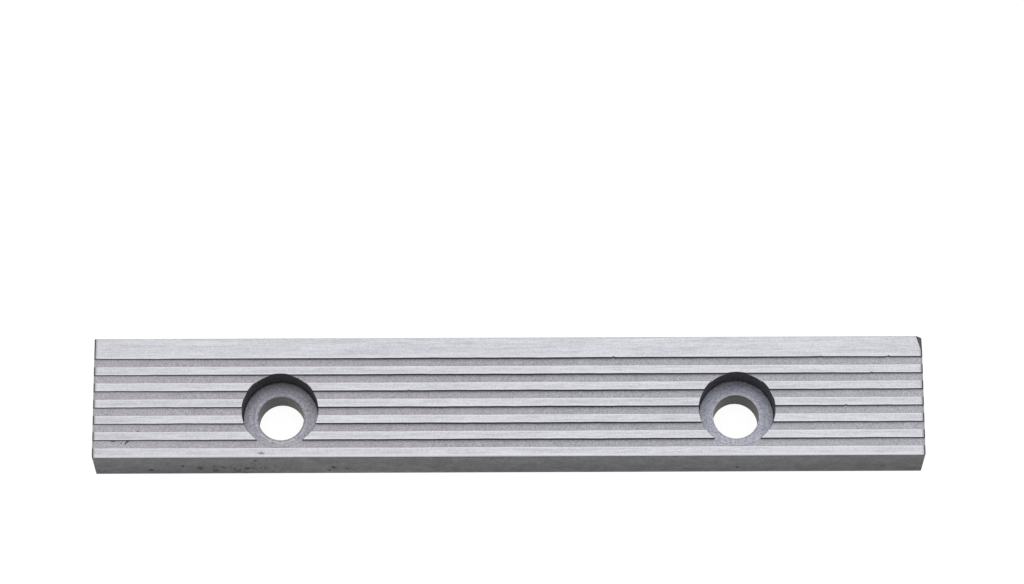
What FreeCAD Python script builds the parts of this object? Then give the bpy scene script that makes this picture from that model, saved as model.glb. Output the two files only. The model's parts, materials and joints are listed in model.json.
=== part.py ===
import FreeCAD, Part

import os

from FreeCAD import Vector

# Jaw plate of a small bench vise, lying on its back with the gripping face up.
# One block of ground steel: grooves are milled along the gripping face and
# two counterbored holes take the screws that hold it to the vise.
# X runs along the plate, Y across it towards the wide land, Z out of the gripping face.
# The origin is the middle of the back face. Millimetres throughout.

# Block
LENGTH = 100.0
HEIGHT = 15.0
THICKNESS = 7.0

# Gripping grooves, each the full length of the plate. They get shallower towards the ends,
# because the plate bowed in hardening before its face was ground flat.
GROOVE_COUNT = 6
GROOVE_WIDTH = 1.05
GROOVE_DEPTH = 0.45
GROOVE_DEPTH_LEFT = 0.22
GROOVE_DEPTH_RIGHT = 0.33
LAND_WIDTH = 1.0
WIDE_LAND = 2.55

# Screw holes with flat-bottomed counterbores for the screw heads
HOLE_COUNT = 2
HOLE_SPACING = 55.0
HOLE_FROM_TOP = 9.1
HOLE_DIAMETER = 5.5
HEAD_DIAMETER = 9.2
HEAD_DEPTH = 3.4
HOLE_EDGE_BREAK = 0.04
HEAD_EDGE_BREAK = 0.03

# Edges eased on the stone after grinding
END_EDGE_BREAK = 0.15
LONG_EDGE_BREAK = 0.1
BACK_EDGE_BREAK = 0.3

# One front corner knocked off: how far the flat reaches along each of its three edges
CORNER_ALONG_LENGTH = 0.75
CORNER_ALONG_HEIGHT = 2.4
CORNER_ALONG_THICKNESS = 0.8

# Places worked out from the sizes above
X_END = LENGTH / 2
Y_TOP = HEIGHT / 2
Z_FACE = THICKNESS
Z_HEAD_SEAT = THICKNESS - HEAD_DEPTH
Y_HOLES = Y_TOP - HOLE_FROM_TOP
HOLE_XS = [(i - (HOLE_COUNT - 1) / 2) * HOLE_SPACING for i in range(HOLE_COUNT)]


def prism_along_x(outline, x_from, x_to):
    """Solid made by running a closed Y-Z outline from one X to another."""
    points = [Vector(x_from, y, z) for y, z in outline]
    face = Part.Face(Part.makePolygon(points + points[:1]))
    return face.extrude(Vector(x_to - x_from, 0, 0))


def block():
    """The blank, with the long edges of its face and back eased."""
    front = LONG_EDGE_BREAK
    back = BACK_EDGE_BREAK
    outline = [
        (-Y_TOP + back, 0),
        (Y_TOP - back, 0),
        (Y_TOP, back),
        (Y_TOP, Z_FACE - front),
        (Y_TOP - front, Z_FACE),
        (-Y_TOP + front, Z_FACE),
        (-Y_TOP, Z_FACE - front),
        (-Y_TOP, back),
    ]
    return prism_along_x(outline, -X_END, X_END)


def end_break(side):
    """What the stone takes off the edges at one end, on the face and on the back."""
    over = 1.0
    cuts = []
    for z_edge, inward, size in ((Z_FACE, -1, END_EDGE_BREAK), (0, 1, BACK_EDGE_BREAK)):
        x_edge = side * X_END
        corner = [
            Vector(x_edge - side * size, -Y_TOP - over, z_edge),
            Vector(x_edge - side * size, -Y_TOP - over, z_edge - inward * over),
            Vector(x_edge + side * over, -Y_TOP - over, z_edge - inward * over),
            Vector(x_edge + side * over, -Y_TOP - over, z_edge + inward * size),
            Vector(x_edge, -Y_TOP - over, z_edge + inward * size),
        ]
        face = Part.Face(Part.makePolygon(corner + corner[:1]))
        cuts.append(face.extrude(Vector(0, HEIGHT + 2 * over, 0)))
    return cuts


def groove(index):
    """One square-sided groove, counted from the wide land. Its floor is a shallow arc along the plate."""
    y_wall = Y_TOP - WIDE_LAND - index * (GROOVE_WIDTH + LAND_WIDTH)
    over = 1.0
    floor_left = Vector(-X_END, y_wall, Z_FACE - GROOVE_DEPTH_LEFT)
    floor_middle = Vector(0, y_wall, Z_FACE - GROOVE_DEPTH)
    floor_right = Vector(X_END, y_wall, Z_FACE - GROOVE_DEPTH_RIGHT)
    rest = [
        floor_right,
        floor_right + Vector(over, 0, 0),
        Vector(X_END + over, y_wall, Z_FACE + over),
        Vector(-X_END - over, y_wall, Z_FACE + over),
        floor_left - Vector(over, 0, 0),
        floor_left,
    ]
    edges = [Part.Arc(floor_left, floor_middle, floor_right).toShape()]
    edges += [Part.LineSegment(a, b).toShape() for a, b in zip(rest, rest[1:])]
    return Part.Face(Part.Wire(edges)).extrude(Vector(0, -GROOVE_WIDTH, 0))


def screw_hole(x):
    """A through hole and its counterbore, turned as one profile."""
    over = 1.0
    r_hole = HOLE_DIAMETER / 2
    r_head = HEAD_DIAMETER / 2
    profile = [
        (0, -over),
        (r_hole + HOLE_EDGE_BREAK + over, -over),
        (r_hole, HOLE_EDGE_BREAK),
        (r_hole, Z_HEAD_SEAT - HOLE_EDGE_BREAK),
        (r_hole + HOLE_EDGE_BREAK, Z_HEAD_SEAT),
        (r_head, Z_HEAD_SEAT),
        (r_head, Z_FACE - HEAD_EDGE_BREAK),
        (r_head + HEAD_EDGE_BREAK, Z_FACE),
        (r_head + HEAD_EDGE_BREAK, Z_FACE + over),
        (0, Z_FACE + over),
    ]
    points = [Vector(x + r, Y_HOLES, z) for r, z in profile]
    face = Part.Face(Part.makePolygon(points + points[:1]))
    return face.revolve(Vector(x, Y_HOLES, 0), Vector(0, 0, 1), 360)


def knocked_corner():
    """The wedge lost from the corner at the far end of the wide land."""
    reach = 3.0
    corner = Vector(X_END, Y_TOP, Z_FACE)
    along_x = corner - Vector(CORNER_ALONG_LENGTH, 0, 0)
    along_y = corner - Vector(0, CORNER_ALONG_HEIGHT, 0)
    along_z = corner - Vector(0, 0, CORNER_ALONG_THICKNESS)
    normal = (along_y - along_x).cross(along_z - along_x)
    normal.normalize()
    if normal.dot(corner - along_x) < 0:
        normal = -normal
    size = reach * HEIGHT
    middle = (along_x + along_y + along_z) / 3
    flat = Part.makePlane(size, size, Vector(-size / 2, -size / 2, 0))
    turn = FreeCAD.Rotation(Vector(0, 0, 1), normal)
    flat.Placement = FreeCAD.Placement(middle, turn)
    return flat.extrude(normal * reach)


def jaw_plate():
    """The finished plate."""
    cuts = [groove(i) for i in range(GROOVE_COUNT)]
    cuts += [screw_hole(x) for x in HOLE_XS]
    cuts += end_break(-1) + end_break(1)
    cuts.append(knocked_corner())
    plate = block().cut(cuts).removeSplitter()
    return plate.Solids[0]


os.makedirs("parts", exist_ok=True)
plate = jaw_plate()
plate.exportStep("parts/jaw_plate.step")
print("jaw_plate:", plate.ShapeType, "valid", plate.isValid(), "volume", round(plate.Volume, 1))
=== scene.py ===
import json
import math

import bmesh
import bpy
import numpy as np
from mathutils import Matrix, Vector


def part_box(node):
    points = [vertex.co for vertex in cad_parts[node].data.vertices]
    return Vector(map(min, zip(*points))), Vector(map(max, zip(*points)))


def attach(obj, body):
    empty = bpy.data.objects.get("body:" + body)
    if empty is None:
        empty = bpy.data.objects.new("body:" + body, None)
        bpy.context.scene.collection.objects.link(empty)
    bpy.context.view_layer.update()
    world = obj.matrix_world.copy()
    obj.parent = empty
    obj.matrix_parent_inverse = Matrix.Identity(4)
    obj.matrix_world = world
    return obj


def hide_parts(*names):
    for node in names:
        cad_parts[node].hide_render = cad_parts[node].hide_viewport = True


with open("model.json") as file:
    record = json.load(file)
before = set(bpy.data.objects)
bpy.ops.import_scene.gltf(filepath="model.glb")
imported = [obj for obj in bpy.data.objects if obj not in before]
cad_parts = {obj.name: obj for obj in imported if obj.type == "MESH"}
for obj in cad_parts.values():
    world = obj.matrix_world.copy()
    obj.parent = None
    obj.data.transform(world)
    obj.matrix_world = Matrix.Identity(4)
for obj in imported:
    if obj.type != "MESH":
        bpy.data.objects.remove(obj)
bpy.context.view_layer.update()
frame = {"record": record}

# The blank is a bar of steel, sawn to length, with its gripping face and its back ground flat.
# Its long edges are eased on a stone. Lengths here are in millimetres on the plate's own axes:
# X along it, Y across it towards the wide land, Z out of the gripping face.
MM = 0.001
EDGE_ROUND = 0.1
BACK_ROUND = 0.3
SIDE_STEP = 0.8

plate_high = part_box("jaw_plate")[1]
half_length = plate_high.x / MM
half_height = plate_high.y / MM
face_z = plate_high.z / MM

GROUND, FLOOR, WALL, FLANK, SEAT, BORE, HOLE = range(7)

# Six square grooves are milled along the gripping face, side by side, and leave narrow lands. The cutter
# leaves small fillets at the floor. The plate bowed in hardening and was then ground flat, so the grooves
# are shallower towards the ends, and each land's lip is a little rounded.
GROOVE_COUNT = 6
GROOVE_WIDTH = 1.05
GROOVE_DEPTH = 0.45
GROOVE_DEPTH_LEFT = 0.22
GROOVE_DEPTH_RIGHT = 0.33
GROOVE_PITCH = 2.05
WIDE_LAND = 2.55
LIP_ROUND = 0.035
FLOOR_FILLET = 0.05
WALL_DRAFT = 0.012
GUARD = 0.02
LAND_STEP = 0.32
FLOOR_STEP = 0.3
HAIR = 1e-6

groove_walls = half_height - WIDE_LAND - GROOVE_PITCH * np.arange(GROOVE_COUNT)
lip_ys = np.sort(np.concatenate([groove_walls, groove_walls - GROOVE_WIDTH]))[::-1]


def run(first, last, step):
    """Evenly spaced values from first to last, both included, no further apart than step."""
    return np.linspace(first, last, max(2, math.ceil(abs(last - first) / step) + 1))


def level(ys, z):
    """Points of a flat run in the Y-Z plane: the given places, all at one height."""
    return np.stack([ys, np.full_like(ys, z)], 1)


def arc(centre, radius, from_deg, to_deg, count=4):
    """Points of a circle's arc in the Y-Z plane: centre plus radius times (cos, sin)."""
    a = np.radians(np.linspace(from_deg, to_deg, count))
    return np.stack([centre[0] + radius * np.cos(a), centre[1] + radius * np.sin(a)], 1)


def straight(start, end, step):
    """Points of a straight run in the Y-Z plane: start times (1 - share) plus end times share."""
    share = run(0, 1, step / math.dist(start, end))[:, None]
    return np.array(start) * (1 - share) + np.array(end) * share


def risen(x, y, z):
    """Height of the face's points once the floors' rise is allowed for. The depth along the plate is a
    parabola through its values at the left end, the middle and the right end, and each wall shortens
    in proportion."""
    along = x / half_length
    tilt = (GROOVE_DEPTH_RIGHT - GROOVE_DEPTH_LEFT) / 2
    bow = GROOVE_DEPTH - (GROOVE_DEPTH_RIGHT + GROOVE_DEPTH_LEFT) / 2
    share = 1 + (tilt * along - bow * along**2) / GROOVE_DEPTH
    in_groove = (z > face_z - GROOVE_DEPTH - HAIR) & (np.abs(y) < half_height - EDGE_ROUND - HAIR)
    return np.where(in_groove, face_z - (face_z - z) * share, z)


def strip(y_from, y_to, z, step):
    """A flat strip from one edge to the other, at one height, with a row close beside each edge."""
    inside = run(y_from - GUARD, y_to + GUARD, step)
    return level(np.concatenate([[y_from], inside, [y_to]]), z)


def groove(y_wall):
    """One groove's section from lip to lip, as (points, finish) runs: wall, fillet, floor, fillet, wall."""
    y_foot = y_wall - WALL_DRAFT
    y_near = y_wall - GROOVE_WIDTH
    y_near_foot = y_near + WALL_DRAFT
    y_floor = y_foot - FLOOR_FILLET
    y_floor_end = y_near_foot + FLOOR_FILLET
    floor_z = face_z - GROOVE_DEPTH
    fillet_z = floor_z + FLOOR_FILLET
    lip_z = face_z - LIP_ROUND
    return [
        (arc((y_wall + LIP_ROUND, lip_z), LIP_ROUND, 90, 180), GROUND),
        (straight((y_wall, lip_z), (y_foot, fillet_z), GROOVE_DEPTH), WALL),
        (arc((y_floor, fillet_z), FLOOR_FILLET, 0, -90), WALL),
        (strip(y_floor, y_floor_end, floor_z, FLOOR_STEP), FLOOR),
        (arc((y_floor_end, fillet_z), FLOOR_FILLET, -90, -180), WALL),
        (straight((y_near_foot, fillet_z), (y_near, lip_z), GROOVE_DEPTH), WALL),
        (arc((y_near - LIP_ROUND, lip_z), LIP_ROUND, 0, 90), GROUND),
    ]


def land(y_from, y_to):
    """One land, level with the face, as a (points, finish) run."""
    return strip(y_from, y_to, face_z, LAND_STEP), GROUND


face_runs = [land(half_height - EDGE_ROUND, groove_walls[0] + LIP_ROUND)]
for y_wall, y_next_wall in zip(groove_walls, groove_walls[1:]):
    face_runs += groove(y_wall)
    face_runs.append(land(y_wall - GROOVE_WIDTH - LIP_ROUND, y_next_wall + LIP_ROUND))
face_runs += groove(groove_walls[-1])
face_runs.append(land(groove_walls[-1] - GROOVE_WIDTH - LIP_ROUND, -half_height + EDGE_ROUND))

# Two holes go through the plate, each with a flat-bottomed counterbore for a screw's head.
# They are bored after the grooves, so the counterbore's rim runs up and down over the lands.
HEAD_DEPTH = 3.4
RIM_BREAK = 0.03
HOLE_BREAK = 0.04
SEAT_FILLET = 0.12
TURN_STEP = 7.0
TURN_END = 43.0
EDGE_CLEAR = 0.004
ROW_CLEAR = 0.03

mounts = {mount["name"]: mount for mount in frame["record"]["mounts"]}
hole_radius = mounts["screw_holes"]["dims"]["hole_r_mm"]
head_radius = mounts["head_recess_left"]["dims"]["r_mm"]
hole_y = mounts["screw_holes"]["pos_m"][1] / MM
hole_xs = [mounts[name]["pos_m"][0] / MM for name in ("head_recess_left", "head_recess_right")]
seat_z = face_z - HEAD_DEPTH
rim_radius = head_radius + RIM_BREAK
eased_radius = hole_radius + HOLE_BREAK


def distinct(values):
    """The values in rising order, where those that differ only by rounding count as one."""
    return np.unique(np.round(values, 9))


def with_rim_rows(runs):
    """Adds rows where the rim's circle turns back, at equal steps of its angle, so that it stays round:
    the hole's Y plus or minus the rim's radius times the cosine of each angle, in degrees."""
    reach = rim_radius * np.cos(np.radians(np.arange(0, TURN_END, TURN_STEP)))
    wanted = np.concatenate([hole_y + reach, hole_y - reach])
    finished = []
    for points, finish in runs:
        ys, zs = points.T
        if np.ptp(zs) < HAIR:
            extra = wanted[(wanted < ys.max() - EDGE_CLEAR) & (wanted > ys.min() + EDGE_CLEAR)]
            clear = np.abs(ys[1:-1, None] - wanted[None, :]).min(1) > ROW_CLEAR
            ys = distinct(np.concatenate([ys[:1], ys[1:-1][clear], ys[-1:], extra]))[::-1]
            points = level(ys, zs[0])
        finished.append((points, finish))
    return finished


face_runs = with_rim_rows(face_runs)
face_section = np.concatenate([points for points, _ in face_runs])
face_ys = face_section[:, 0]
rim_rows = distinct(face_ys[np.abs(face_ys - hole_y) <= rim_radius + HAIR])
rim_sines = np.unique(np.clip((rim_rows - hole_y) / rim_radius, -1, 1))
back_ys = distinct(np.concatenate([
    run(-half_height + BACK_ROUND, hole_y - eased_radius, SIDE_STEP),
    hole_y + eased_radius * rim_sines,
    run(hole_y + eased_radius, half_height - BACK_ROUND, SIDE_STEP),
]))

side_top = face_z - EDGE_ROUND
section = [(arc((half_height - EDGE_ROUND, side_top), EDGE_ROUND, 0, 90), GROUND)]
section += face_runs
section += [
    (arc((-half_height + EDGE_ROUND, side_top), EDGE_ROUND, 90, 180), GROUND),
    (straight((-half_height, side_top), (-half_height, BACK_ROUND), SIDE_STEP), FLANK),
    (arc((-half_height + BACK_ROUND, BACK_ROUND), BACK_ROUND, 180, 270), FLANK),
    (level(back_ys, 0.0), GROUND),
    (arc((half_height - BACK_ROUND, BACK_ROUND), BACK_ROUND, -90, 0), FLANK),
    (straight((half_height, BACK_ROUND), (half_height, side_top), SIDE_STEP), FLANK),
]

# Each run ends where the next begins, so its last point is left to the next one.
row_y, row_z = np.concatenate([points[:-1] for points, _ in section]).T
row_finish = np.concatenate([np.full(len(points) - 1, finish) for points, finish in section])

# Handling marks: the lips wander a little where the cutter and the stone passed, a few have nicks,
# and one corner of the wide land was knocked off against something hard.
LIP_WANDER = 0.007
WANDER_LENGTHS = (23.0, 9.7, 5.1, 2.9, 1.7)
USUAL_LENGTH = 9
LENGTH_POWER = 0.3
LIP_REACH = 0.16
HOLE_CLEAR = 7.0
NICKS = [
    (-12.0, 4, 0.06), (12.7, 0, 0.11), (37.7, 0, 0.07), (37.9, 1, 0.08),
    (40.6, 6, 0.08), (42.4, 5, 0.07), (43.8, 2, 0.09), (45.9, 0, 0.12),
]
NICK_WIDTH = 0.11
NICK_COLUMNS = (-1.8, -0.8, 0, 0.8, 1.8)
END_BREAK = 0.17
END_MARGIN = 0.01
END_COLUMNS = (0, 0.014, 0.05, 0.1, END_BREAK, 0.24, 0.34, 0.6, 0.95)
PLAIN_FROM_END = 1.3
COLUMN_STEP = 0.5
COLUMN_CLEAR = 0.12
FACE_BAND = 1.0
CORNER_X = 0.75
CORNER_Y = 2.4
CORNER_Z = 0.8
WANDER_SEED = 7

chance = np.random.default_rng(WANDER_SEED)


def lip_wander(columns):
    """How far each lip strays in Y along the plate: five sines of random phase, longer ones higher, faded
    out at the holes, and a bell for each nick: its depth times exp(-(distance / width) squared)."""
    wave = np.zeros((len(lip_ys), len(columns)))
    for length in WANDER_LENGTHS:
        phase = chance.uniform(0, 2 * math.pi, (len(lip_ys), 1))
        sine = np.sin(2 * math.pi * columns[None, :] / length + phase)
        wave += sine * LIP_WANDER * (length / USUAL_LENGTH) ** LENGTH_POWER
    clear = np.ones_like(columns)
    for x in hole_xs:
        clear *= 1 - np.exp(-(((columns - x) / HOLE_CLEAR) ** 4))
    wave *= clear
    for x, lip, depth in NICKS:
        into_land = 1 if lip % 2 == 0 else -1
        wave[lip] += into_land * depth * np.exp(-(((columns - x) / NICK_WIDTH) ** 2))
    return wave


def eased(inward, radius):
    """How far a rounded end edge of this radius lies back, at a distance inward from the end:
    the radius less the root of its square minus (radius - inward) squared."""
    return radius - np.sqrt(radius**2 - np.clip(radius - inward, 0, radius) ** 2)


def stoned(x, y, z):
    """Rounds the ends: near them each cross-section is smaller, by the ease of the edge at that place.
    Returns the new Y and Z, and which points lie on the rounded edges of the face."""
    inward = half_length - np.abs(x)
    ease = eased(inward, END_BREAK)
    z = np.minimum(z, face_z - ease)
    z = np.maximum(z, eased(inward, BACK_ROUND))
    y = np.clip(y, ease - half_height, half_height - ease)
    return y, z, (inward < END_BREAK + HAIR) & (z > face_z - END_BREAK - END_MARGIN)


from_end = np.array(END_COLUMNS)
nick_columns = np.concatenate([x + NICK_WIDTH * np.array(NICK_COLUMNS) for x, _, _ in NICKS])
own_columns = np.concatenate([from_end - half_length, half_length - from_end, nick_columns, hole_xs])
plain_columns = run(-half_length + PLAIN_FROM_END, half_length - PLAIN_FROM_END, COLUMN_STEP)
clear_of_own = np.abs(plain_columns[:, None] - own_columns[None, :]).min(1) > COLUMN_CLEAR
columns = np.sort(np.concatenate([plain_columns[clear_of_own], own_columns]))
wander = lip_wander(columns)
on_face = row_z > face_z - FACE_BAND
row_pull = np.exp(-(((row_y[:, None] - lip_ys[None, :]) / LIP_REACH) ** 2)) * on_face[:, None]

# The skin is laid from end to end in three stretches that part at the middles of the holes, and each hole is
# turned on its own axis. Beside a hole the stretches' rows draw apart, up to the hole's edge.
SPREAD = 10.5
BELOW_GROOVES = 0.2
SEAT_STEP = 0.2
HOLE_STEP = 0.6
WELD = 2e-4
MANY_CORNERS = 8
SHARP_DEGREES = 34

row_radius = np.where(on_face, rim_radius, np.where(row_z < HAIR, eased_radius, 0.0))
corners = []
quads = []
quad_finish = []


def stretch(first, last):
    """The skin from one hole's middle, or an end, to the next: rows round the section, columns along.
    Beside a hole each row is pushed aside by half the chord that the hole cuts from it, so it ends on the
    rim_highlight: the root of radius squared minus (Y - the hole's Y) squared, fading to nothing over the spread."""
    inside = (columns >= first - HAIR) & (columns <= last + HAIR)
    base = columns[inside]
    y = row_y[:, None] + row_pull @ wander[:, inside]
    z = np.broadcast_to(row_z[:, None], y.shape)
    chord = np.sqrt(np.maximum(row_radius[:, None] ** 2 - (y - hole_y) ** 2, 0))
    x = np.broadcast_to(base[None, :], y.shape).copy()
    for middle, side in ((first, 1), (last, -1)):
        if middle in hole_xs:
            x += side * chord * np.maximum(1 - np.abs(base - middle) / SPREAD, 0)[None, :]
    y, z, cut = stoned(x, y, risen(x, y, z))
    cut = np.concatenate([cut, cut[:1]])
    cut = cut[:-1, :-1] & cut[1:, :-1] & cut[1:, 1:] & cut[:-1, 1:]
    # The rounded end edges of the face take the dark flank finish, which is painted shade there.
    return np.stack([x, y, z], 2), np.where(cut, FLANK, row_finish[:, None])


def turned(middle):
    """Rim, counterbore, seat and through hole of one screw hole: a profile of (radius, height) carried
    round, each point at the axis plus its radius times (cos, sin). The angles are those at which the rows
    of the face meet the rim, so the two surfaces share their points."""
    right = np.arcsin(rim_sines)
    angles = np.concatenate([right, math.pi - right[-2:0:-1]])
    sines = np.concatenate([rim_sines, rim_sines[-2:0:-1]])
    order = np.argsort(-face_section[:, 0], kind="stable")
    rim_y = hole_y + rim_radius * sines
    rim_z = np.interp(-rim_y, -face_section[order, 0], face_section[order, 1])
    rim_z = risen(middle + rim_radius * np.cos(angles), rim_y, rim_z)
    below = face_z - GROOVE_DEPTH - BELOW_GROOVES
    hole_zs = run(seat_z - HOLE_BREAK - GUARD, HOLE_BREAK + GUARD, HOLE_STEP)
    profile = np.concatenate([
        [(head_radius, below), (head_radius, (below + seat_z) / 2)],
        arc((head_radius - SEAT_FILLET, seat_z + SEAT_FILLET), SEAT_FILLET, 0, -90),
        level(run(head_radius - SEAT_FILLET - GUARD, eased_radius + GUARD, SEAT_STEP), seat_z),
        [(eased_radius, seat_z), (hole_radius, seat_z - HOLE_BREAK)],
        np.stack([np.full_like(hole_zs, hole_radius), hole_zs], 1),
        [(hole_radius, HOLE_BREAK), (eased_radius, 0.0)],
    ])
    radius, height = np.repeat(profile.T[:, :, None], len(angles), 2)
    radius = np.vstack([np.full_like(angles, rim_radius), np.full_like(angles, head_radius), radius])
    height = np.vstack([rim_z, rim_z - RIM_BREAK, height])
    rings = np.stack([middle + radius * np.cos(angles), hole_y + radius * np.sin(angles), height], 2)
    ring_z = height.min(1)[:-1]
    finish = np.where(ring_z <= seat_z + HAIR, SEAT, BORE)
    finish[ring_z < seat_z - HOLE_BREAK / 2] = HOLE
    return rings, np.repeat(finish[:, None], len(angles), 1)


def lay(grid, finish, closes_rows, closes_columns):
    """Adds a grid of points and its faces, row by row, with the first row or column joined to the last
    if asked."""
    start = sum(len(points) for points in corners)
    rows, cols = grid.shape[:2]
    index = start + np.arange(rows * cols).reshape(rows, cols)
    if closes_rows:
        index = np.concatenate([index, index[:1]])
    if closes_columns:
        index = np.concatenate([index, index[:, :1]], 1)
    faces = np.stack([index[:-1, :-1], index[1:, :-1], index[1:, 1:], index[:-1, 1:]], 2)
    corners.append(grid.reshape(-1, 3))
    quads.append(faces.reshape(-1, 4))
    quad_finish.append(finish.reshape(-1))
    return index


left_index = lay(*stretch(-half_length, hole_xs[0]), True, False)
lay(*stretch(hole_xs[0], hole_xs[1]), True, False)
right_index = lay(*stretch(hole_xs[1], half_length), True, False)
for hole_x in hole_xs:
    lay(*turned(hole_x), False, True)

plate_mesh = bpy.data.meshes.new("jaw_plate_skin")
end_faces = [left_index[:-1, 0].tolist(), right_index[:-1, -1][::-1].tolist()]
plate_mesh.from_pydata(np.concatenate(corners) * MM, [], np.concatenate(quads).tolist() + end_faces)
finishes = np.concatenate(quad_finish + [[FLANK, FLANK]])
plate_mesh.polygons.foreach_set("material_index", finishes.astype(np.int32))

# The stretches, the turned holes and the two end faces are welded into one closed skin. Then the corner is
# cut off along the plane through its three reaches, and the cut is closed by one flat face.
welded = bmesh.new()
welded.from_mesh(plate_mesh)
bmesh.ops.remove_doubles(welded, verts=welded.verts, dist=WELD * MM)
everything = welded.verts[:] + welded.edges[:] + welded.faces[:]
on_cut = Vector((half_length - CORNER_X, half_height, face_z)) * MM
across_cut = Vector((1 / CORNER_X, 1 / CORNER_Y, 1 / CORNER_Z)).normalized()
cut = bmesh.ops.bisect_plane(
    welded, geom=everything, dist=WELD * MM, plane_co=on_cut, plane_no=across_cut, clear_outer=True
)
open_edges = [part for part in cut["geom_cut"] if isinstance(part, bmesh.types.BMEdge)]
# The cut corner's facet takes the dark flank finish, which is painted shade.
for facet in bmesh.ops.edgeloop_fill(welded, edges=open_edges)["faces"]:
    facet.material_index = FLANK
bmesh.ops.recalc_face_normals(welded, faces=welded.faces)
welded.to_mesh(plate_mesh)
welded.free()
corner_counts = np.empty(len(plate_mesh.polygons), np.int32)
plate_mesh.polygons.foreach_get("loop_total", corner_counts)
plate_mesh.polygons.foreach_set("use_smooth", corner_counts < MANY_CORNERS)
plate_mesh.set_sharp_from_angle(angle=math.radians(SHARP_DEGREES))

# What the finishes need to know of each point: how far it is from a screw hole's axis, and from a lip.
points_mm = np.empty(len(plate_mesh.vertices) * 3, np.float32)
plate_mesh.vertices.foreach_get("co", points_mm)
points_mm = points_mm.reshape(-1, 3) / MM
from_axis = np.min([np.hypot(points_mm[:, 0] - x, points_mm[:, 1] - hole_y) for x in hole_xs], 0)
# The lips and the front edge, along which the lands carry a painted highlight.
highlit_ys = np.append(lip_ys, EDGE_ROUND - half_height)
from_lip = np.abs(points_mm[:, 1, None] - highlit_ys[None, :]).min(1)
for name, values in (("from_axis_mm", from_axis), ("from_lip_mm", from_lip)):
    layer = plate_mesh.attributes.new(name, "FLOAT", "POINT")
    layer.data.foreach_set("value", values.astype(np.float32))

jaw = bpy.data.objects.new("jaw_plate_dressed", plate_mesh)
bpy.context.collection.objects.link(jaw)
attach(jaw, "root")
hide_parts("jaw_plate")

# The lands and the back are ground and then rubbed lengthwise, so they are bright with long fine streaks
# that run along the plate in shallow sweeps. A bright line beside each lip and along the front edge is a
# painted highlight, and the darkening at the two ends, where the stone rounded them, is painted shade.
# One small rust speck sits on the nearest land.
LAND_DARK = (0.425, 0.424, 0.455, 1)
LAND_BRIGHT = (0.680, 0.677, 0.722, 1)
FINE_LENGTH = 2.0
FINE_WIDTH = 0.12
FINE_SHARE = 1.75
BROAD_LENGTH = 7.0
BROAD_WIDTH = 0.4
BROAD_SHARE = 1.25
LAND_GRAIN = 0.15
LAND_GRAIN_SHARE = 0.82
ROUGH_RANGE = (0.3, 0.7)
LAND_ROUGHNESS = (0.30, 0.44)
LAND_BUMP = 0.35
LAND_RELIEF = 0.01
LIP_HIGHLIGHT = (0.700, 0.698, 0.735, 1)
LIP_HIGHLIGHT_REACH = (0.22, 0.03)
LIP_HIGHLIGHT_SHARE = 0.75
END_SHADE = (0.15, 0.15, 0.155, 1)
END_SHADE_REACH = (0.43, 0.20)
END_SHADE_SHARE = 0.55
EDGE_PIT = (0.16, 0.16, 0.17, 1)
EDGE_PIT_REACH = (7.1, 7.45)
EDGE_PIT_SHARE = 0.9
RUST = (0.27, 0.21, 0.195, 1)
RUST_SHARE = 0.9
RUST_SPECK = ((-29.70, -7.0, 7.0), (0.50, 0.21, 1))
SWEEP_STRETCH = (0.045, 0.25, 0.25)
SWEEP_REACH = 1.5
FACET_SHARE = 0.35
CELL_SCALE = 0.55
CELL_PIT = (0.34, 0.14)
PITTED_LUMPS = (0.5, 0.6)
TORN_SCALE = 5.0
TORN_REACH = 1.6
SPECK_EDGE = (1.1, 0.45)


def put(tree, kind, settings=None, **sockets):
    """Adds a node. Settings are its own properties; a socket takes a value or another node's output.
    A socket is named, with _ for a space, or numbered after a leading _."""
    node = tree.nodes.new(kind)
    for name, value in (settings or {}).items():
        setattr(node, name, value)
    for name, value in sockets.items():
        socket = node.inputs[int(name[1:])] if name[0] == "_" else node.inputs[name.replace("_", " ")]
        if isinstance(value, bpy.types.NodeSocket):
            tree.links.new(value, socket)
        else:
            socket.default_value = value
    return node


def new_group(name, inputs, outputs):
    """An empty shader node group with named float or vector inputs and outputs.
    Returns it, the sockets that hold what it is given and those for what it gives."""
    group = bpy.data.node_groups.new(name, "ShaderNodeTree")
    for socket, kind in inputs:
        group.interface.new_socket(socket, in_out="INPUT", socket_type=kind)
    for socket, kind in outputs:
        group.interface.new_socket(socket, in_out="OUTPUT", socket_type=kind)
    return group, group.nodes.new("NodeGroupInput").outputs, group.nodes.new("NodeGroupOutput").inputs


def maths(tree, operation, first, second=0.0, third=0.0):
    """One step of arithmetic on values."""
    return put(tree, "ShaderNodeMath", {"operation": operation}, _0=first, _1=second, _2=third).outputs[0]


def vector_maths(tree, operation, first, **sockets):
    """One step of arithmetic on vectors, giving a vector."""
    return put(tree, "ShaderNodeVectorMath", {"operation": operation}, _0=first, **sockets).outputs[0]


def away(tree, value, middle):
    """How far a value is from a middle one, on either side."""
    return maths(tree, "ABSOLUTE", maths(tree, "SUBTRACT", value, middle))


def ramp(tree, value, span, low=0.0, high=1.0, curve="LINEAR"):
    """Goes from low to high while the value crosses the span, and stays level on either side of it."""
    start, end = span
    shape = {"interpolation_type": curve}
    return put(tree, "ShaderNodeMapRange", shape, _0=value, _1=start, _2=end, _3=low, _4=high).outputs[0]


def noise(tree, where, scale, detail, roughness=0.5):
    """A cloudy value round a half."""
    cloud = put(tree, "ShaderNodeTexNoise", _0=where, Scale=scale, Detail=detail, Roughness=roughness)
    return cloud.outputs[0]


def blend(tree, share, under, over):
    """One colour with another laid over it by a share."""
    return put(tree, "ShaderNodeMix", {"data_type": "RGBA"}, _0=share, _6=under, _7=over).outputs[2]


def lightened(tree, colour, times):
    """A colour made lighter or darker by a factor."""
    return put(tree, "ShaderNodeHueSaturation", Value=times, Color=colour).outputs[0]


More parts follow.
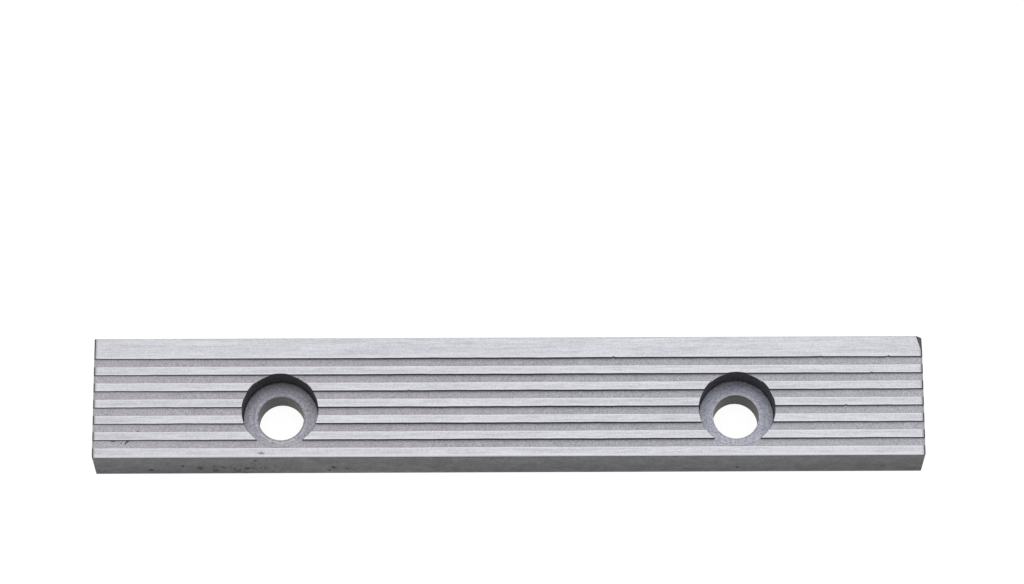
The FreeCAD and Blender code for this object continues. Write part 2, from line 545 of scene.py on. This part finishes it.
streaks_group, given, gives = new_group(
    "rubbed_streaks",
    [("Place", "NodeSocketVector"), ("Length", "NodeSocketFloat"), ("Width", "NodeSocketFloat")],
    [("Streaks", "NodeSocketFloat")],
)
sweep = put(streaks_group, "ShaderNodeMapping", _0=given["Place"], Scale=SWEEP_STRETCH).outputs[0]
sweep = noise(streaks_group, sweep, 1.0, 1.0)
sway = maths(streaks_group, "MULTIPLY_ADD", sweep, SWEEP_REACH, -SWEEP_REACH / 2)
sway = put(streaks_group, "ShaderNodeCombineXYZ", Y=sway).outputs[0]
swept = vector_maths(streaks_group, "ADD", given["Place"], _1=sway)
spans = {"X": given["Length"], "Y": given["Width"], "Z": given["Width"]}
size = put(streaks_group, "ShaderNodeCombineXYZ", **spans).outputs[0]
streak = noise(streaks_group, vector_maths(streaks_group, "DIVIDE", swept, _1=size), 1.0, 3.0, 0.6)
streaks_group.links.new(streak, gives["Streaks"])

grit_group, given, gives = new_group(
    "grit",
    [("Place", "NodeSocketVector"), ("Size", "NodeSocketFloat")],
    [("Grit", "NodeSocketFloat"), ("Pits", "NodeSocketFloat")],
)
times = maths(grit_group, "DIVIDE", 1.0, given["Size"])
sized = vector_maths(grit_group, "SCALE", given["Place"], Scale=times)
lumps = noise(grit_group, sized, 1.0, 1.0)
facets = put(grit_group, "ShaderNodeTexVoronoi", _0=sized, Scale=1.0).outputs["Color"]
facets = put(grit_group, "ShaderNodeSeparateColor", _0=facets).outputs[0]
grit = maths(grit_group, "MULTIPLY_ADD", lumps, 1.0, -FACET_SHARE / 2)
grit = maths(grit_group, "MULTIPLY_ADD", facets, FACET_SHARE, grit)
cells = put(grit_group, "ShaderNodeTexVoronoi", _0=sized, Scale=CELL_SCALE).outputs["Distance"]
pits = ramp(grit_group, cells, CELL_PIT)
some = ramp(grit_group, lumps, PITTED_LUMPS)
grit_group.links.new(grit, gives["Grit"])
grit_group.links.new(maths(grit_group, "MULTIPLY", pits, some), gives["Pits"])

speck_group, given, gives = new_group(
    "speck",
    [(socket, "NodeSocketVector") for socket in ("Place", "Middle", "Reach", "Turn")],
    [("Speck", "NodeSocketFloat")],
)
seat_on = {"Location": given["Middle"], "Rotation": given["Turn"], "Scale": given["Reach"]}
own = put(speck_group, "ShaderNodeMapping", {"vector_type": "TEXTURE"}, _0=given["Place"], **seat_on)
ratio = put(speck_group, "ShaderNodeVectorMath", {"operation": "LENGTH"}, _0=own.outputs[0]).outputs["Value"]
torn = noise(speck_group, given["Place"], TORN_SCALE, 3.0)
torn = maths(speck_group, "MULTIPLY_ADD", torn, TORN_REACH, -TORN_REACH / 2)
speck = ramp(speck_group, maths(speck_group, "ADD", ratio, torn), SPECK_EDGE)
speck_group.links.new(speck, gives["Speck"])


def new_finish(name):
    """A material with its shader, and the object's coordinates in millimetres, also one by one."""
    material = bpy.data.materials.new(name)
    material.use_nodes = True
    tree = material.node_tree
    where = put(tree, "ShaderNodeTexCoord").outputs["Object"]
    place_mm = vector_maths(tree, "SCALE", where, Scale=1 / MM)
    axes = put(tree, "ShaderNodeSeparateXYZ", _0=place_mm).outputs
    return material, tree, tree.nodes["Principled BSDF"], place_mm, axes


def streaks(tree, where, length, width):
    """Long streaks of this length and width, in millimetres."""
    group = {"node_tree": streaks_group}
    return put(tree, "ShaderNodeGroup", group, Place=where, Length=length, Width=width).outputs[0]


def grains(tree, where, size):
    """Grit and pits of this size, in millimetres."""
    return put(tree, "ShaderNodeGroup", {"node_tree": grit_group}, Place=where, Size=size).outputs


def spot(tree, where, middle, reach, turn=(0, 0, 0)):
    """A ragged spot round a place, in millimetres, with its reach on each axis."""
    around = {"Middle": middle, "Reach": reach, "Turn": turn}
    return put(tree, "ShaderNodeGroup", {"node_tree": speck_group}, Place=where, **around).outputs[0]


def shaded_ends(tree, along, reach, share):
    """A mask of painted shade at both ends of the plate. Its reach says how far from the end it begins and
    where it is full, in millimetres, and its share how strong it is there."""
    begins, full = reach
    from_middle = maths(tree, "ABSOLUTE", along)
    return ramp(tree, from_middle, (half_length - begins, half_length - full), 0.0, share)


def bare_metal(tree, shader, colour, rough, height=None, strength=1.0, relief=0.0):
    """Makes the shader bare metal: its colour, its roughness, and its relief in millimetres."""
    tree.links.new(colour, shader.inputs["Base Color"])
    shader.inputs["Metallic"].default_value = 1.0
    if isinstance(rough, bpy.types.NodeSocket):
        tree.links.new(rough, shader.inputs["Roughness"])
    else:
        shader.inputs["Roughness"].default_value = rough
    if height is not None:
        bump = put(tree, "ShaderNodeBump", Strength=strength, Distance=relief * MM, Height=height)
        tree.links.new(bump.outputs[0], shader.inputs["Normal"])


ground, tree, shader, place_mm, axes = new_finish("ground_steel")
fine = streaks(tree, place_mm, FINE_LENGTH, FINE_WIDTH)
broad = streaks(tree, place_mm, BROAD_LENGTH, BROAD_WIDTH)
grain = grains(tree, place_mm, LAND_GRAIN)
tone = maths(tree, "MULTIPLY_ADD", fine, FINE_SHARE, -FINE_SHARE / 2)
tone = maths(tree, "MULTIPLY_ADD", broad, BROAD_SHARE, tone)
tone = maths(tree, "ADD", tone, 0.5 - (BROAD_SHARE + LAND_GRAIN_SHARE) / 2)
tone = maths(tree, "MULTIPLY_ADD", grain["Grit"], LAND_GRAIN_SHARE, tone)
colour = blend(tree, tone, LAND_DARK, LAND_BRIGHT)
lip_distance = put(tree, "ShaderNodeAttribute", {"attribute_name": "from_lip_mm"}).outputs["Fac"]
# Painted highlight: a bright line beside each lip and along the front edge.
lip_highlight = ramp(tree, lip_distance, LIP_HIGHLIGHT_REACH, 0.0, LIP_HIGHLIGHT_SHARE)
colour = blend(tree, lip_highlight, colour, LIP_HIGHLIGHT)
# Painted shade: the lands darken towards the rounded ends.
end_shade = shaded_ends(tree, axes["X"], END_SHADE_REACH, END_SHADE_SHARE)
colour = blend(tree, end_shade, colour, END_SHADE)
far_edge = ramp(tree, axes["Y"], EDGE_PIT_REACH, 0.0, EDGE_PIT_SHARE)
colour = blend(tree, maths(tree, "MULTIPLY", far_edge, grain["Pits"]), colour, EDGE_PIT)
rusty = maths(tree, "MULTIPLY", spot(tree, place_mm, *RUST_SPECK), RUST_SHARE)
colour = blend(tree, rusty, colour, RUST)
rough = ramp(tree, fine, ROUGH_RANGE, *LAND_ROUGHNESS)
bare_metal(tree, shader, colour, rough, fine, strength=LAND_BUMP, relief=LAND_RELIEF)

# The groove floors are left as the cutter and a grit blast made them: matt, grainy, greyer than the lands,
# warmer towards one end and bluer towards the other, and one has a short dark scratch by its wall. They grow
# lighter towards the ends, which is painted light from the sides, and darker right at the ends, which is
# painted shade. The groove walls are cut smooth; their dark grey is painted shade, and their paler tone near
# the ends is painted light from the sides.
FLOOR_WARM = (0.424, 0.413, 0.440, 1)
FLOOR_COOL = (0.428, 0.429, 0.466, 1)
COOL_SPAN = (-12.0, 12.0)
FLOOR_GRAIN = 0.15
GRAIN_RANGE = (0.25, 0.75)
FLOOR_LIGHTNESS = (0.7, 1.3)
FLOOR_ROUGHNESS = (0.42, 0.54)
FLOOR_BUMP = 0.5
FLOOR_RELIEF = 0.03
PIT_AND_SHADE_DARK = (0.17, 0.165, 0.18, 1)
FLOOR_PIT_SHARE = 0.35
FLOOR_END_SHADE_REACH = (0.32, 0.10)
FLOOR_END_SHADE_SHARE = 0.35
END_SIDE_LIGHT = 0.05
END_SIDE_LIGHT_POWER = 2.5
PATCH_SCALE = 0.35
PATCH_SHARE = 0.25
SCRATCH_DARK = (0.07, 0.065, 0.075, 1)
SCRATCHES = [
    ((-45.72, -5.42, 6.75), (0.26, 0.14, 1), 0), ((-45.90, -5.58, 6.75), (0.34, 0.11, 1), 47),
    ((-46.49, -5.62, 6.75), (0.11, 0.11, 1), 0), ((-47.50, -5.40, 6.75), (0.34, 0.09, 1), 0),
    ((-44.55, -4.13, 6.75), (0.13, 0.13, 1), 0),
]
WALL_SHADE_GREY = (0.142, 0.133, 0.156, 1)
WALL_SIDE_LIT = (0.216, 0.193, 0.224, 1)
SIDE_LIT_LEFT = (-20.0, -50.0)
SIDE_LIT_RIGHT = (24.0, 50.0)
SIDE_LIT_RIGHT_SHARE = 0.65
WALL_ROUGHNESS = 0.45

blasted, tree, shader, place_mm, axes = new_finish("blasted_groove_floor")
grain = grains(tree, place_mm, FLOOR_GRAIN)
cool = ramp(tree, axes["X"], COOL_SPAN, curve="SMOOTHSTEP")
colour = blend(tree, cool, FLOOR_WARM, FLOOR_COOL)
ends = maths(tree, "DIVIDE", maths(tree, "ABSOLUTE", axes["X"]), half_length)
lighter = ramp(tree, grain["Grit"], GRAIN_RANGE, *FLOOR_LIGHTNESS)
# Painted light from the sides: the floors grow lighter towards the ends.
lighter = maths(tree, "MULTIPLY_ADD", maths(tree, "POWER", ends, END_SIDE_LIGHT_POWER), END_SIDE_LIGHT, lighter)
patchy = maths(tree, "SUBTRACT", noise(tree, place_mm, PATCH_SCALE, 2.0), 0.5)
lighter = maths(tree, "MULTIPLY_ADD", patchy, PATCH_SHARE, lighter)
colour = lightened(tree, colour, lighter)
dark = maths(tree, "MULTIPLY", grain["Pits"], FLOOR_PIT_SHARE)
# Painted shade: the floors darken right at the ends, blended with the grain's pits.
end_shade = shaded_ends(tree, axes["X"], FLOOR_END_SHADE_REACH, FLOOR_END_SHADE_SHARE)
colour = blend(tree, maths(tree, "MAXIMUM", dark, end_shade), colour, PIT_AND_SHADE_DARK)
for middle, reach, degrees in SCRATCHES:
    scratch = spot(tree, place_mm, middle, reach, (0, 0, math.radians(degrees)))
    colour = blend(tree, scratch, colour, SCRATCH_DARK)
rough = ramp(tree, grain["Grit"], ROUGH_RANGE, *FLOOR_ROUGHNESS)
bare_metal(tree, shader, colour, rough, grain["Grit"], strength=FLOOR_BUMP, relief=FLOOR_RELIEF)

cut_wall, tree, shader, place_mm, axes = new_finish("cut_groove_wall")
# The walls' dark grey is painted shade; towards the ends they turn paler, which is painted light from the
# sides.
side_lit_left = ramp(tree, axes["X"], SIDE_LIT_LEFT, curve="SMOOTHSTEP")
side_lit_right = ramp(tree, axes["X"], SIDE_LIT_RIGHT, 0.0, SIDE_LIT_RIGHT_SHARE, "SMOOTHSTEP")
colour = blend(tree, maths(tree, "MAXIMUM", side_lit_left, side_lit_right), WALL_SHADE_GREY, WALL_SIDE_LIT)
bare_metal(tree, shader, colour, WALL_ROUGHNESS)

# The sides and the ends are a dark grey that is painted shade, standing in for the dim surroundings they
# reflect; the rounded end edges of the face and the knocked-off corner take it too. It is smooth and faintly
# mottled, a little lighter towards the face and bluer and darker below, which is painted shade as well,
# warmer left of the middle and darkest at the right end. Low down by the left hole it is pitted, with a few
# rust spots, and its foot is stained from there to the left end.
SKIN_TOP = (0.099, 0.100, 0.103, 1)
SKIN_SHADED_LOW = (0.057, 0.058, 0.067, 1)
SKIN_RISE = (0.6, 6.2)
MOTTLE_SCALE = 0.55
MOTTLE_REACH = 3.2
SKIN_WARM = (0.094, 0.093, 0.091, 1)
WARM_MIDDLE = -19.0
WARM_REACH = (19.0, 0.0)
WARM_SHARE = 0.7
SKIN_GRAIN = 0.2
SKIN_LIGHTNESS = (0.68, 1.32)
SKIN_ROUGHNESS = (0.42, 0.56)
SKIN_BUMP = 0.2
SKIN_RELIEF = 0.02
RIGHT_END = (34.0, 42.0)
RIGHT_END_TONE = 0.86
FOOT_BEGINS = (-25.0, -31.0)
FOOT_HEIGHT = (1.2, 0.7)
FOOT_SHARE = 0.4
SKIN_STAIN = ((-38.0, -7.5, 1.2), (8.0, 1, 2.6))
STAIN_SHARE = 0.18
SKIN_PIT = (0.026, 0.025, 0.026, 1)
SKIN_RUST = (0.060, 0.040, 0.034, 1)
PIT_ROUGHNESS = 0.64
PITTED_MIDDLE = -31.5
PITTED_REACH = (6.0, 2.0)
PITTED_HEIGHT = (5.5, 2.5)
PITTED_SCALE = 0.12
PITTED_RANGE = (0.48, 0.62)
PITTED_SHARE = 0.4
UPRIGHT = (1, 1, 0.4)
SPECKLE_SCALE = 2.4
SPECKLE_RANGE = (0.50, 0.62)
SPECKLE_SHARE = 0.9
RUST_SPOTS = [
    ((-35.42, -7.5, 1.5), (0.60, 1, 0.95)), ((-32.76, -7.5, 1.3), (0.50, 1, 0.65)),
    ((-30.48, -7.5, 5.5), (0.34, 1, 0.55)), ((-19.52, -7.5, 2.1), (0.42, 1, 0.55)),
]
PIT_SPOTS = [
    ((-43.25, -7.5, 1.8), (0.60, 1, 0.65)), ((-39.26, -7.5, 3.4), (0.36, 1, 0.55)),
    ((-37.24, -7.5, 2.4), (0.56, 1, 0.85)), ((-35.45, -7.5, 3.3), (0.28, 1, 0.40)),
    ((-34.44, -7.5, 2.7), (0.26, 1, 0.50)), ((-31.56, -7.5, 2.4), (0.42, 1, 0.70)),
    ((-21.11, -7.5, 2.6), (0.46, 1, 0.70)), ((-21.67, -7.5, 1.6), (0.34, 1, 0.50)),
    ((27.60, -7.5, 2.0), (0.28, 1, 0.45)), ((49.08, -7.5, 1.6), (0.24, 1, 0.45)),
]

flank, tree, shader, place_mm, axes = new_finish("shaded_flank")
mottle = noise(tree, place_mm, MOTTLE_SCALE, 5.0, 0.62)
height = maths(tree, "MULTIPLY_ADD", maths(tree, "SUBTRACT", mottle, 0.5), MOTTLE_REACH, axes["Z"])
# Painted shade: the skin is darker and bluer towards the bottom.
colour = blend(tree, ramp(tree, height, SKIN_RISE), SKIN_SHADED_LOW, SKIN_TOP)
warm = ramp(tree, away(tree, axes["X"], WARM_MIDDLE), WARM_REACH, 0.0, WARM_SHARE, "SMOOTHSTEP")
colour = blend(tree, warm, colour, SKIN_WARM)
grain = grains(tree, place_mm, SKIN_GRAIN)["Grit"]
lighter = ramp(tree, grain, GRAIN_RANGE, *SKIN_LIGHTNESS)
dimmed = ramp(tree, axes["X"], RIGHT_END, 1.0, RIGHT_END_TONE, "SMOOTHSTEP")
lighter = maths(tree, "MULTIPLY", lighter, dimmed)
foot_along = ramp(tree, axes["X"], FOOT_BEGINS)
foot_low = ramp(tree, axes["Z"], FOOT_HEIGHT, 0.0, FOOT_SHARE)
foot = maths(tree, "MULTIPLY", foot_along, foot_low)
lighter = maths(tree, "MULTIPLY", lighter, maths(tree, "SUBTRACT", 1.0, foot))
colour = lightened(tree, colour, lighter)
pitted = ramp(tree, noise(tree, place_mm, PITTED_SCALE, 2.0), PITTED_RANGE, 0.0, PITTED_SHARE)
pitted_here = ramp(tree, away(tree, axes["X"], PITTED_MIDDLE), PITTED_REACH)
low = ramp(tree, axes["Z"], PITTED_HEIGHT)
pitted = maths(tree, "MULTIPLY", maths(tree, "MAXIMUM", pitted, pitted_here), low)
upright = put(tree, "ShaderNodeMapping", _0=place_mm, Scale=UPRIGHT).outputs[0]
speckle = ramp(tree, noise(tree, upright, SPECKLE_SCALE, 1.0), SPECKLE_RANGE, 0.0, SPECKLE_SHARE)
pitted = maths(tree, "MULTIPLY", pitted, speckle)
colour = blend(tree, pitted, colour, SKIN_PIT)
stained = maths(tree, "MULTIPLY", spot(tree, place_mm, *SKIN_STAIN), STAIN_SHARE)
colour = blend(tree, stained, colour, SKIN_PIT)
marked = pitted
for marks, mark_colour in ((PIT_SPOTS, SKIN_PIT), (RUST_SPOTS, SKIN_RUST)):
    for middle, reach in marks:
        mark = spot(tree, place_mm, middle, reach)
        colour = blend(tree, mark, colour, mark_colour)
        marked = maths(tree, "MAXIMUM", marked, mark)
rough = ramp(tree, mottle, ROUGH_RANGE, *SKIN_ROUGHNESS)
rough = maths(tree, "MAXIMUM", rough, maths(tree, "MULTIPLY", marked, PIT_ROUGHNESS))
bare_metal(tree, shader, colour, rough, grain, strength=SKIN_BUMP, relief=SKIN_RELIEF)

# The counterbore's seat is turned and blasted, with faint rings from the tool. It is darker beyond its near
# side and towards the plate's middle, which is painted shade from the counterbore's walls. The right one is
# bluish, with fainter rings. On the near side of the hole's edge runs a painted highlight, strongest on the
# right one. The bored walls are charcoal and the drilled hole's dull olive, dark colours that are painted
# shade.
SEAT_PLAIN = (0.402, 0.398, 0.430, 1)
SEAT_BLUE = (0.413, 0.414, 0.472, 1)
SEAT_PLAIN_SHADED = (0.338, 0.334, 0.376, 1)
SEAT_BLUE_SHADED = (0.347, 0.358, 0.416, 1)
SEAT_SHADE_SPAN = (hole_y - 3.6, hole_y - 1.6)
LEFT_TO_RIGHT = (-5.0, 5.0)
SEAT_INNER_SHADE_REACH = (1.0, 4.0)
SEAT_INNER_SHADE = 0.91
SEAT_LEAN_LEFT = 0.4
SEAT_TONE = 0.49
SEAT_GRAIN = 0.16
SEAT_GRAIN_SHARE = 1.05
SEAT_PIT_SHARE = 0.55
SEAT_ROUGHNESS = 0.40
SEAT_BUMP = 0.4
SEAT_RELIEF = 0.02
RING_SCALE = 5.0
RING_SHARE = 0.8
RING_SHARE_RIGHT = 0.35
SEAT_RIM_HIGHLIGHT = (0.72, 0.71, 0.70, 1)
SEAT_RIM_HIGHLIGHT_REACH = (2.93, 2.80)
SEAT_RIM_HIGHLIGHT_SPAN = (hole_y - 1.8, hole_y + 0.6)
SEAT_RIM_HIGHLIGHT_SHARE = 0.8
RIM_HIGHLIGHT_LEFT = 0.15
RIM_HIGHLIGHT_RIGHT = 0.65
# The dark base colours of the bored wall and the drilled hole are painted shade.
BORE_GREY = (0.054, 0.053, 0.057, 1)
BORE_RIGHT_TONE = 1.3
HOLE_OLIVE = (0.0315, 0.0315, 0.0285, 1)
HOLE_RIGHT_TONE = 0.66
BORE_GRAIN = 0.17
BORE_GRAIN_SHARE = 1.8
BORE_RING_SCALE = 4.0
BORE_RING_SHARE = 0.5
BORE_RISE = (4.0, 6.6)
BORE_LIGHTNESS = (1.22, 0.80)
BORE_ROUGHNESS = 0.5


def tool_rings(tree, distance, scale, detail):
    """A value that changes only with the distance, as the marks of a turning tool do."""
    shape = {"noise_dimensions": "1D"}
    return put(tree, "ShaderNodeTexNoise", shape, W=distance, Scale=scale, Detail=detail).outputs[0]


seat, tree, shader, place_mm, axes = new_finish("turned_seat")
axis_distance = put(tree, "ShaderNodeAttribute", {"attribute_name": "from_axis_mm"}).outputs["Fac"]
rings = tool_rings(tree, axis_distance, RING_SCALE, 3.0)
grain = grains(tree, place_mm, SEAT_GRAIN)
right = ramp(tree, axes["X"], LEFT_TO_RIGHT)
# Painted shade: the seat is darker beyond its near side.
seat_shade = ramp(tree, axes["Y"], SEAT_SHADE_SPAN)
near = blend(tree, right, SEAT_PLAIN, SEAT_BLUE)
shaded_colour = blend(tree, right, SEAT_PLAIN_SHADED, SEAT_BLUE_SHADED)
colour = blend(tree, seat_shade, near, shaded_colour)
ring_share = maths(tree, "MULTIPLY_ADD", right, RING_SHARE_RIGHT - RING_SHARE, RING_SHARE)
ringed = maths(tree, "MULTIPLY", maths(tree, "SUBTRACT", rings, 0.5), ring_share)
tone = maths(tree, "MULTIPLY_ADD", grain["Grit"], SEAT_GRAIN_SHARE, SEAT_TONE)
tone = maths(tree, "ADD", ringed, tone)
# Painted shade: the seat darkens towards the plate's middle.
inward = maths(tree, "SUBTRACT", hole_xs[1], maths(tree, "ABSOLUTE", axes["X"]))
lean_share = maths(tree, "MULTIPLY_ADD", right, 1 - SEAT_LEAN_LEFT, SEAT_LEAN_LEFT)
lean = maths(tree, "MULTIPLY_ADD", maths(tree, "SUBTRACT", axes["Y"], hole_y), lean_share, inward)
tone = maths(tree, "MULTIPLY", tone, ramp(tree, lean, SEAT_INNER_SHADE_REACH, 1.0, SEAT_INNER_SHADE))
colour = lightened(tree, colour, tone)
dark = maths(tree, "MULTIPLY", grain["Pits"], SEAT_PIT_SHARE)
colour = blend(tree, dark, colour, PIT_AND_SHADE_DARK)
# Painted highlight on the near side of the hole's edge, stronger on the right hole.
rim_highlight = ramp(tree, axis_distance, SEAT_RIM_HIGHLIGHT_REACH, 0.0, SEAT_RIM_HIGHLIGHT_SHARE)
rim_highlight_share = maths(tree, "MULTIPLY_ADD", right, RIM_HIGHLIGHT_RIGHT - RIM_HIGHLIGHT_LEFT, RIM_HIGHLIGHT_LEFT)
rim_highlight = maths(tree, "MULTIPLY", rim_highlight, rim_highlight_share)
rim_highlight = maths(tree, "MULTIPLY", rim_highlight, ramp(tree, axes["Y"], SEAT_RIM_HIGHLIGHT_SPAN))
colour = blend(tree, rim_highlight, colour, SEAT_RIM_HIGHLIGHT)
bare_metal(tree, shader, colour, SEAT_ROUGHNESS, rings, strength=SEAT_BUMP, relief=SEAT_RELIEF)


def bored_finish(name, base, right_tone):
    """A dark cut wall, faintly ringed and grainy, lighter deep down; its dark base colour is painted shade.
    The right one has a tone of its own.
    """
    material, tree, shader, place_mm, axes = new_finish(name)
    rings = tool_rings(tree, axes["Z"], BORE_RING_SCALE, 2.0)
    upright = put(tree, "ShaderNodeMapping", _0=place_mm, Scale=UPRIGHT).outputs[0]
    grit = grains(tree, upright, BORE_GRAIN)["Grit"]
    rest = 1 - (BORE_GRAIN_SHARE + BORE_RING_SHARE) / 2
    lighter = maths(tree, "MULTIPLY_ADD", grit, BORE_GRAIN_SHARE, rest)
    lighter = maths(tree, "MULTIPLY_ADD", rings, BORE_RING_SHARE, lighter)
    side = ramp(tree, axes["X"], LEFT_TO_RIGHT, 1.0, right_tone)
    deep = ramp(tree, axes["Z"], BORE_RISE, *BORE_LIGHTNESS)
    lighter = maths(tree, "MULTIPLY", lighter, maths(tree, "MULTIPLY", side, deep))
    bare_metal(tree, shader, lightened(tree, base, lighter), BORE_ROUGHNESS)
    return material


bore = bored_finish("bored_wall", BORE_GREY, BORE_RIGHT_TONE)
drilled = bored_finish("drilled_hole", HOLE_OLIVE, HOLE_RIGHT_TONE)

for material in (ground, blasted, cut_wall, flank, seat, bore, drilled):
    plate_mesh.materials.append(material)

# The plate lies on a plain white table under one wide soft lamp. The table's white is its own to the eye,
# and it still takes the plate's shadow.
TABLE_SIZE = 3.0
TABLE_GLOW = 0.93
TABLE_WHITE = (0.22, 0.22, 0.22, 1)
ROOM_LIGHT = (0.80, 0.80, 0.81, 1)
BACKDROP = (1, 1, 1, 1)

table_mesh = bpy.data.meshes.new("table")
edge = TABLE_SIZE / 2
table_corners = [(-edge, -edge, 0), (edge, -edge, 0), (edge, edge, 0), (-edge, edge, 0)]
table_mesh.from_pydata(table_corners, [], [(0, 1, 2, 3)])
table = bpy.data.objects.new("table", table_mesh)
bpy.context.collection.objects.link(table)
white = bpy.data.materials.new("white_table")
white.use_nodes = True
tree = white.node_tree
tree.nodes.remove(tree.nodes["Principled BSDF"])
ray = put(tree, "ShaderNodeLightPath").outputs
seen = maths(tree, "MAXIMUM", ray["Is Camera Ray"], ray["Is Glossy Ray"])
seen = maths(tree, "MAXIMUM", seen, ray["Is Transmission Ray"])
glow = put(tree, "ShaderNodeEmission", Strength=maths(tree, "MULTIPLY", seen, TABLE_GLOW))
matt = put(tree, "ShaderNodeBsdfDiffuse", Color=TABLE_WHITE)
both = put(tree, "ShaderNodeAddShader", _0=glow.outputs[0], _1=matt.outputs[0])
tree.links.new(both.outputs[0], tree.nodes["Material Output"].inputs["Surface"])
table_mesh.materials.append(white)

room = bpy.data.worlds.new("room")
bpy.context.scene.world = room
room.use_nodes = True
tree = room.node_tree
to_eye = put(tree, "ShaderNodeLightPath").outputs["Is Camera Ray"]
plain = tree.nodes["Background"]
plain.inputs["Color"].default_value = ROOM_LIGHT
backdrop = put(tree, "ShaderNodeBackground", Color=BACKDROP, Strength=1.0)
choice = put(tree, "ShaderNodeMixShader", _0=to_eye, _1=plain.outputs[0], _2=backdrop.outputs[0])
tree.links.new(choice.outputs[0], tree.nodes["World Output"].inputs["Surface"])

LAMP_PLACE = Vector((0.04, 0.22, 0.55))
LAMP_SIZE = 0.45
LAMP_POWER = 0.35
lamp_data = bpy.data.lights.new("soft_lamp", "AREA")
lamp_data.shape = "SQUARE"
lamp_data.size = LAMP_SIZE
lamp_data.energy = LAMP_POWER
lamp = bpy.data.objects.new("soft_lamp", lamp_data)
lamp.location = LAMP_PLACE
lamp.rotation_euler = LAMP_PLACE.to_track_quat("Z", "Y").to_euler()
bpy.context.collection.objects.link(lamp)

# The camera stands where the photograph was taken: well above the plate, on the side of its narrow lands,
# with a long lens. The picture's middle falls on the table beyond the plate.
CAMERA_ELEVATION = math.radians(70.98)
CAMERA_TURN = math.radians(-0.366)
CAMERA_ROLL = math.radians(0.131)
CAMERA_DISTANCE = 0.5900
CAMERA_AIM = Vector((0.49, 15.71, 0)) * MM
CAMERA_LENS = 168.9
SENSOR_WIDTH = 36.0
NEAREST_SEEN = 0.01
FARTHEST_SEEN = 10

camera_data = bpy.data.cameras.new("camera")
camera_data.sensor_width = SENSOR_WIDTH
camera_data.lens = CAMERA_LENS
camera_data.clip_start = NEAREST_SEEN
camera_data.clip_end = FARTHEST_SEEN
camera = bpy.data.objects.new("camera", camera_data)
bpy.context.collection.objects.link(camera)
turn = Matrix.Rotation(CAMERA_TURN, 4, "Z")
tilt = Matrix.Rotation(math.pi / 2 - CAMERA_ELEVATION, 4, "X")
roll = Matrix.Rotation(CAMERA_ROLL, 4, "Z")
stand_off = Matrix.Translation((0, 0, CAMERA_DISTANCE))
camera.matrix_world = Matrix.Translation(CAMERA_AIM) @ turn @ tilt @ roll @ stand_off
bpy.context.scene.camera = camera
bpy.context.scene.view_settings.view_transform = "Standard"
